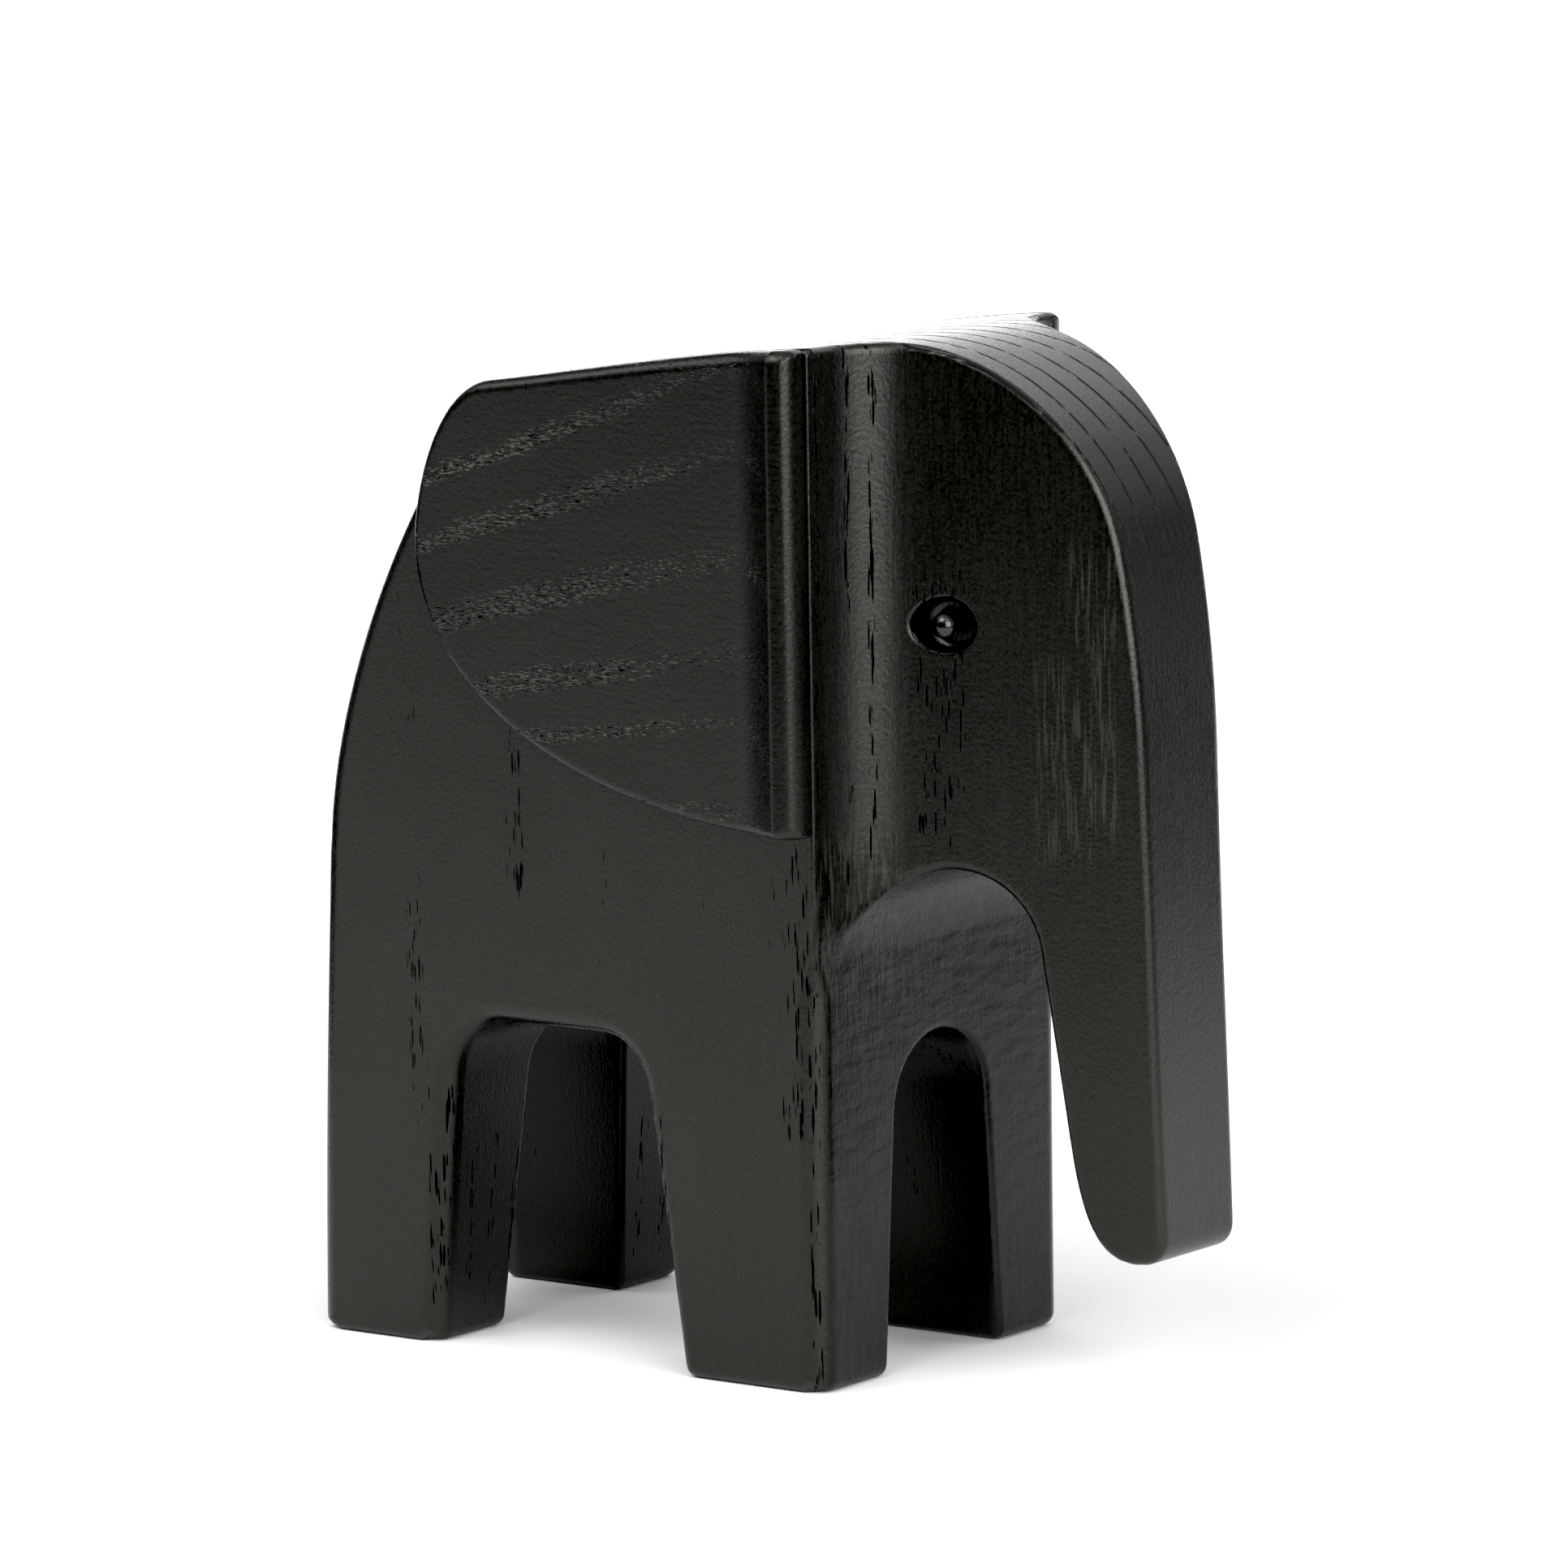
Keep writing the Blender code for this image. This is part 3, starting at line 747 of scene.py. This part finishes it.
# Where growth rings start, measured across the block, in millimetres.
BLOCK_RINGS = (-40.0, -32.0, -28.2, -25.2, -20.9, -18.8, -16.7, -12.5, -8.0, -3.7, 0.6, 4.9,
               9.2, 13.3, 17.6, 21.9, 26.0, 31.0, 36.0, 41.0)
RING_LEAN = 0.3                         # the rings' turn away from the mid-plane

# Where growth rings start on the ears, as heights measured at X = -10.
EAR_RINGS = (46.0, 57.4, 67.0, 79.2, 86.0, 97.3, 110.5, 120.6, 129.5)
RING_FAN = 0.0051                       # they rise by this share of it per millimetre forwards
RING_DROP = 0.278                       # and sink by this much

# Where long open pores gather on the block: centre in X and Z, half sizes, and strength.
PORE_PATCHES = (
    (1.8, 94.0, 3.0, 36.0, 1.2), (-43.6, 66.0, 2.4, 10.0, 0.95), (-59.6, 43.0, 2.2, 15.0, 0.8),
    (-57.4, 20.0, 1.8, 16.0, 1.1), (-22.0, 18.0, 1.6, 15.0, 1.1), (-4.6, 48.0, 4.4, 19.0, 1.0),
    (-72.6, 50.0, 1.6, 8.0, 1.0), (10.0, 82.0, 4.0, 18.0, 0.8),
    (5.2, 108.0, 1.4, 14.0, 1.1))

# Where the head's side shows lighter streaks: the same five numbers.
STREAK_PATCHES = ((29.0, 84.0, 3.0, 18.0, 1.0), (26.0, 76.0, 4.5, 12.0, 0.9))


def patches(s, x, z, table):
    """Soft-edged patches of a table, laid over each other."""
    total = None
    for middle, level, half, tall, strength in table:
        across = s.math("ABSOLUTE", s.math("MULTIPLY_ADD", x, 1.0 / half, -middle / half))
        up = s.math("ABSOLUTE", s.math("MULTIPLY_ADD", z, 1.0 / tall, -level / tall))
        one = s.band(s.math("MAXIMUM", across, up), 1.15, 0.75, 0.0, strength)
        total = one if total is None else s.math("MAXIMUM", total, one)
    return total


def block_wood():
    """Ash with upright fibres, stained black: satin, with open pores in each ring, and painted
    shade as lowered shine in the leg tunnel, the arch and on the front legs' front face.
    """
    s = Shader("stained_ash_upright")
    place = s.place()
    x, y, z = place
    wander = s.noise(place, (26.0, 26.0, 90.0), detail=1.0)
    lean = s.times(s.band(x, 12.0, 26.0), s.math("MULTIPLY_ADD", z, 0.04, -3.5))
    ring = s.add(y, s.times(x, -RING_LEAN), s.math("MULTIPLY_ADD", wander, 2.0, -1.0), lean)
    saw = s.rings(ring, BLOCK_RINGS)
    early = s.times(s.band(saw, 0.0, 0.05), s.band(saw, 0.46, 0.12))
    edge = s.noise(place, (0.22, 0.22, 0.9), detail=2.0, offset=6.3)
    long_far, long_random = s.cells(place, (0.3, 0.3, 3.6))
    across = s.math("ABSOLUTE", y)
    round_corner = s.add(x, s.times(across, -1.0), s.math("MULTIPLY_ADD", z, 0.026, HALF + 0.2))
    cracks = s.times(s.band(s.math("ABSOLUTE", round_corner), 0.95, 0.6), s.band(z, 68.0, 62.0),
                     s.band(x, -4.0, -3.4))
    dense = s.math("MAXIMUM", patches(s, x, z, PORE_PATCHES), s.times(
        s.band(s.noise(place, (6.0, 6.0, 24.0), detail=1.0, offset=3.7), 0.52, 0.64), 0.34))
    reach = s.times(s.math("MAXIMUM", s.times(early, dense), cracks),
                    s.band(long_random, 0.25, 1.0, 0.1, 0.62))
    rim = s.add(long_far, s.math("MULTIPLY_ADD", edge, 0.44, -0.22))
    pore = s.band(s.math("SUBTRACT", rim, reach), 0.06, -0.10)
    upward = s.node("ShaderNodeSeparateXYZ", {
        "Vector": s.node("ShaderNodeNewGeometry").outputs["Normal"]}).outputs[2]
    line = s.times(s.band(saw, 0.0, 0.04), s.band(saw, 0.17, 0.08), s.band(upward, 0.12, 0.5),
                   s.band(s.noise(place, (3.6, 1.2, 1.6), offset=2.2), 0.36, 0.5))
    fibre = s.noise(place, (0.4, 0.4, 7.0), detail=3.0, roughness=0.6)
    cloud = s.noise(place, (14.0, 14.0, 30.0), detail=2.0, offset=8.1)
    mottle = s.noise(place, (0.42, 0.42, 0.55), detail=3.0, roughness=0.65, offset=1.9)
    streak = s.times(patches(s, x, z, STREAK_PATCHES), s.band(fibre, 0.5, 0.62))
    # The front face of the front legs: real grain and ripples here, and also painted shade where
    # its shine is lowered further down.
    ahead = s.times(s.band(x, -1.0, 0.0), s.band(x, 8.0, 3.0), s.band(z, 70.0, 62.0))
    grain = s.times(ahead, s.band(z, 34.0, 58.0, 0.25, 1.0),
                    s.band(s.noise(place, (0.45, 0.45, 5.0), offset=4.4), 0.46, 0.62))
    ripple = s.times(ahead, s.noise(place, (5.0, 5.0, 1.7), detail=2.0, offset=7.7))
    # Painted shade: these masks lower the shine on the surfaces inside the leg tunnel and under the
    # arch, so that these recesses read dark as if shadowed.
    tunnel = s.times(s.band(across, 12.6, 11.2), s.band(z, 42.0, 40.4),
                     s.band(x, -0.4, -1.8), s.band(x, -75.2, -73.6))
    arch = s.times(s.band(across, 24.8, 23.4), s.band(x, -59.0, -57.0), s.band(x, -19.6, -21.6),
                   s.band(z, 42.0, 40.4))
    painted_tunnel_shade = s.math("MAXIMUM", tunnel, arch)
    rubbed = s.times(s.math("MAXIMUM", streak, grain), 0.6)
    dark = s.math("MAXIMUM", pore, s.times(line, 0.8))
    colour = s.tint_over(rubbed, s.stain(fibre, cloud, mottle), RUBBED_FIBRE)
    colour = s.tint_over(s.times(dark, 0.92), colour, PORE_BLACK)
    s.put(s.surface.inputs["Base Color"], colour)
    rough = s.add(s.times(fibre, 0.10), s.times(mottle, 0.16), s.times(dark, 0.3), 0.14)
    s.put(s.surface.inputs["Roughness"], rough)
    # Shine lowered in the pores, which is their own look, and as painted shade inside the tunnel
    # and the arch and on the front face of the front legs.
    pore_dulling_and_painted_shade = s.math("MINIMUM", s.add(s.times(dark, 0.92), s.times(painted_tunnel_shade, 0.62),
                                   s.times(ahead, 0.48)), 0.95)
    s.put(s.surface.inputs["Specular IOR Level"], s.math("MULTIPLY_ADD", pore_dulling_and_painted_shade, -0.5, 0.5))
    height = s.add(s.times(fibre, 0.06), s.times(mottle, 0.14), s.times(dark, -0.6),
                   s.times(ripple, 0.4))
    s.bump(height, 0.32)
    s.polish()
    return s.material


def ear_wood(name):
    """Ash with level fibres: bands of short pale pores sweep across the board."""
    s = Shader(name)
    place = s.place()
    x, y, z = place
    wander = s.noise(place, (22.0, 9.0, 9.0), detail=1.0)
    out = s.math("SUBTRACT", s.math("ABSOLUTE", y), HALF + EAR_BOARD)
    ahead = s.add(x, 10.0)
    slope = s.add(z, s.times(ahead, RING_DROP))
    lift = s.times(s.band(x, -12.0, -32.0), s.band(slope, 116.0, 121.0, 0.0, -3.0))
    level = s.math("DIVIDE", s.add(slope, lift, s.times(out, 3.6)),
                   s.math("MULTIPLY_ADD", ahead, RING_FAN, 1.0))
    level = s.add(level, s.math("MULTIPLY_ADD", wander, 2.4, -1.2))
    saw = s.rings(level, EAR_RINGS)
    early = s.times(s.band(saw, -0.02, 0.16), s.band(saw, 0.56, 0.20))
    early = s.times(early, s.band(x, -6.0, -42.0, 0.35, 1.0))
    dash = s.noise(place, (0.85, 0.17, 0.17), detail=1.0, roughness=0.5, offset=3.3)
    hollow = s.noise(place, (1.0, 0.16, 0.16), detail=1.0, roughness=0.5, offset=9.7)
    pale = s.times(s.band(s.add(dash, s.times(early, 0.15)), 0.65, 0.80), s.band(early, 0.05, 0.5),
                   s.band(x, -2.5, -6.0, 0.15, 1.0))
    pore = s.times(s.band(s.add(hollow, s.times(early, 0.12)), 0.70, 0.77),
                   s.band(early, 0.05, 0.5))
    fibre = s.noise(place, (5.0, 0.4, 0.4), detail=3.0, roughness=0.6)
    cloud = s.noise(place, (26.0, 10.0, 12.0), detail=2.0, offset=5.1)
    mottle = s.noise(place, (0.5, 0.5, 0.5), detail=2.0, roughness=0.6, offset=1.9)
    worn = s.times(pale, s.band(cloud, 0.3, 0.7, 0.4, 1.0))
    colour = s.tint_over(worn, s.stain(fibre, cloud, mottle), PALE_PORE)
    colour = s.tint_over(s.times(pore, 0.9), colour, PORE_BLACK)
    s.put(s.surface.inputs["Base Color"], colour)
    rough = s.add(s.times(fibre, 0.08), s.times(mottle, 0.16), s.times(pore, 0.25), 0.17)
    s.put(s.surface.inputs["Roughness"], rough)
    s.put(s.surface.inputs["Specular IOR Level"], s.math("MULTIPLY_ADD", pore, -0.4, 0.45))
    height = s.add(s.times(fibre, 0.04), s.times(mottle, 0.12), s.times(pale, 0.12),
                   s.times(pore, -0.45))
    s.bump(height, 0.3)
    s.polish()
    return s.material


def gloss_black(name):
    """Lacquer with fine specks that make its shine a little uneven."""
    s = Shader(name)
    speck = s.noise(s.place(), (0.35, 0.35, 0.35), detail=2.0)
    s.put(s.surface.inputs["Base Color"], s.tint(speck, (0.0022, 0.0022, 0.0022),
                                                 (0.0045, 0.0044, 0.0042)))
    s.put(s.surface.inputs["Roughness"], s.band(speck, 0.3, 0.7, 0.13, 0.22))
    s.surface.inputs["IOR"].default_value = 1.55
    return s.material


def floor_white():
    """Pale paper that brightens into a lit backdrop far behind the figure."""
    s = Shader("studio_floor")
    x, y, _ = s.place()
    away_x, away_y = -0.588, 0.809      # straight away from the camera
    behind = s.add(s.times(x, away_x), s.times(y, away_y))
    s.surface.inputs["Base Color"].default_value = (0.86, 0.86, 0.85, 1.0)
    s.put(s.surface.inputs["Emission Strength"], s.band(behind, 60.0, 900.0, 0.0, 0.9))
    s.surface.inputs["Emission Color"].default_value = (1.0, 1.0, 1.0, 1.0)
    s.surface.inputs["Roughness"].default_value = 0.9
    s.surface.inputs["Specular IOR Level"].default_value = 0.1
    return s.material


# ---------------------------------------------------------------- stage

def make_floor():
    """A floor that runs far past the picture's edges."""
    mesh = bpy.data.meshes.new("floor")
    edge = 12.0
    mesh.from_pydata([(-edge, -edge, 0), (edge, -edge, 0), (edge, edge, 0), (-edge, edge, 0)],
                     [], [(0, 1, 2, 3)])
    mesh.materials.append(floor_white())
    floor = bpy.data.objects.new("floor", mesh)
    bpy.context.scene.collection.objects.link(floor)


def make_world(strength):
    """A dim room that still shows as plain white behind the floor."""
    world = bpy.data.worlds.new("studio")
    world.use_nodes = True
    tree = world.node_tree
    room = tree.nodes["Background"]
    room.inputs["Color"].default_value = (1.0, 0.998, 0.99, 1.0)
    room.inputs["Strength"].default_value = strength
    seen = tree.nodes.new("ShaderNodeBackground")
    seen.inputs["Color"].default_value = (1.0, 1.0, 1.0, 1.0)
    path = tree.nodes.new("ShaderNodeLightPath")
    either = tree.nodes.new("ShaderNodeMixShader")
    tree.links.new(path.outputs["Is Camera Ray"], either.inputs[0])
    tree.links.new(room.outputs[0], either.inputs[1])
    tree.links.new(seen.outputs[0], either.inputs[2])
    tree.links.new(either.outputs[0], tree.nodes["World Output"].inputs["Surface"])
    bpy.context.scene.world = world


def make_flag(name, start, end, near, far):
    """A black cloth on the floor that only shows where the glossy wood reflects it.

    It fans round the object between two angles in degrees and two distances.
    """
    mesh = bpy.data.meshes.new(name)
    lift, parts = 0.001, 12
    corners = []
    for part in range(parts + 1):
        angle = math.radians(start + (end - start) * part / parts)
        corners += [(reach * math.cos(angle), reach * math.sin(angle), lift)
                    for reach in (near, far)]
    mesh.from_pydata(corners, [], [(2 * i, 2 * i + 1, 2 * i + 3, 2 * i + 2) for i in range(parts)])
    s = Shader(name + "_cloth")
    s.surface.inputs["Base Color"].default_value = (0.01, 0.01, 0.01, 1.0)
    s.surface.inputs["Roughness"].default_value = 1.0
    s.surface.inputs["Specular IOR Level"].default_value = 0.0
    mesh.materials.append(s.material)
    flag = bpy.data.objects.new(name, mesh)
    flag.visible_camera = flag.visible_diffuse = flag.visible_shadow = False
    bpy.context.scene.collection.objects.link(flag)


def make_light(name, azimuth, height, distance, size, power):
    """A softbox aimed at the figure, placed by its two angles in degrees."""
    data = bpy.data.lights.new(name, "AREA")
    data.shape = "RECTANGLE"
    data.size, data.size_y = size
    data.energy = power
    light = bpy.data.objects.new(name, data)
    turn, lift = math.radians(azimuth), math.radians(height)
    out = Vector((math.cos(lift) * math.cos(turn), math.cos(lift) * math.sin(turn),
                  math.sin(lift)))
    aim = Vector((0.0, 0.0, 0.06))
    light.location = aim + distance * out
    light.rotation_euler = (-out).to_track_quat("-Z", "Y").to_euler()
    light.visible_camera = False
    bpy.context.scene.collection.objects.link(light)


def make_camera():
    """A long lens to the figure's front right, a little above it."""
    yaw, pitch, roll = 0.6271, 0.1432, -0.0151
    data = bpy.data.cameras.new("camera")
    data.sensor_width = 36.0
    data.lens = 204.5
    data.clip_end = 100.0
    forward = Vector((-math.sin(yaw) * math.cos(pitch), math.cos(yaw) * math.cos(pitch),
                      -math.sin(pitch)))
    right = forward.cross(Vector((0, 0, 1))).normalized()
    up = right.cross(forward)
    turned_right = right * math.cos(roll) + up * math.sin(roll)
    turned_up = up * math.cos(roll) - right * math.sin(roll)
    matrix = Matrix((turned_right, turned_up, -forward)).transposed().to_4x4()
    matrix.translation = (0.60577 + FACE * MM, -0.86748, 0.22315)
    camera = bpy.data.objects.new("camera", data)
    camera.matrix_world = matrix
    bpy.context.scene.collection.objects.link(camera)
    bpy.context.scene.camera = camera


def make_pieces():
    """The five pieces, each riding on the body and standing for its CAD node."""
    block = make_block(block_wood())
    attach(block, "root")
    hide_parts("body_block")
    for name, side in (("right", -1), ("left", 1)):
        ear = make_ear(name + "_ear_board", side, ear_wood(name + "_ear_ash"))
        eye = make_eye(name + "_eye_peg", side, gloss_black(name + "_eye_gloss"))
        for piece, node in ((ear, name + "_ear"), (eye, name + "_eye")):
            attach(piece, "root")
            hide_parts(node)


def make_studio():
    """Floor, room, softboxes and black cloths, all outside the picture or plain white."""
    make_floor()
    make_world(0.06)
    make_light("right", -23.0, 17.0, 1.3, (1.0, 0.9), 18.0)
    make_light("right_high", -27.0, 48.0, 1.4, (0.9, 0.9), 5.0)
    make_light("front_high", 268.0, 55.0, 1.6, (0.9, 0.9), 15.0)
    make_light("backdrop", 126.0, 8.0, 2.5, (2.4, 0.8), 20.0)
    make_light("back_left", 147.0, 12.0, 2.0, (1.0, 0.8), 9.0)
    make_light("left_high", 218.0, 48.0, 1.5, (1.1, 1.0), 9.0)
    make_light("wall_low", 75.0, 9.0, 2.5, (6.0, 0.75), 3.0)
    make_light("wall_middle", 75.0, 28.0, 2.5, (6.0, 0.9), 12.0)
    make_light("wall_high", 75.0, 48.0, 2.5, (4.0, 0.9), 30.0)
    make_light("overhead", 270.0, 88.0, 1.6, (1.2, 1.2), 3.5)
    make_flag("front_flag", -116.0, 62.0, 0.40, 4.0)
    make_flag("left_flag", 160.0, 213.0, 0.27, 4.0)
    view = bpy.context.scene.view_settings
    view.view_transform = "Standard"
    view.use_curve_mapping = True
    view.curve_mapping.black_level = (0.0085, 0.0085, 0.0085)


make_pieces()
make_studio()
make_camera()
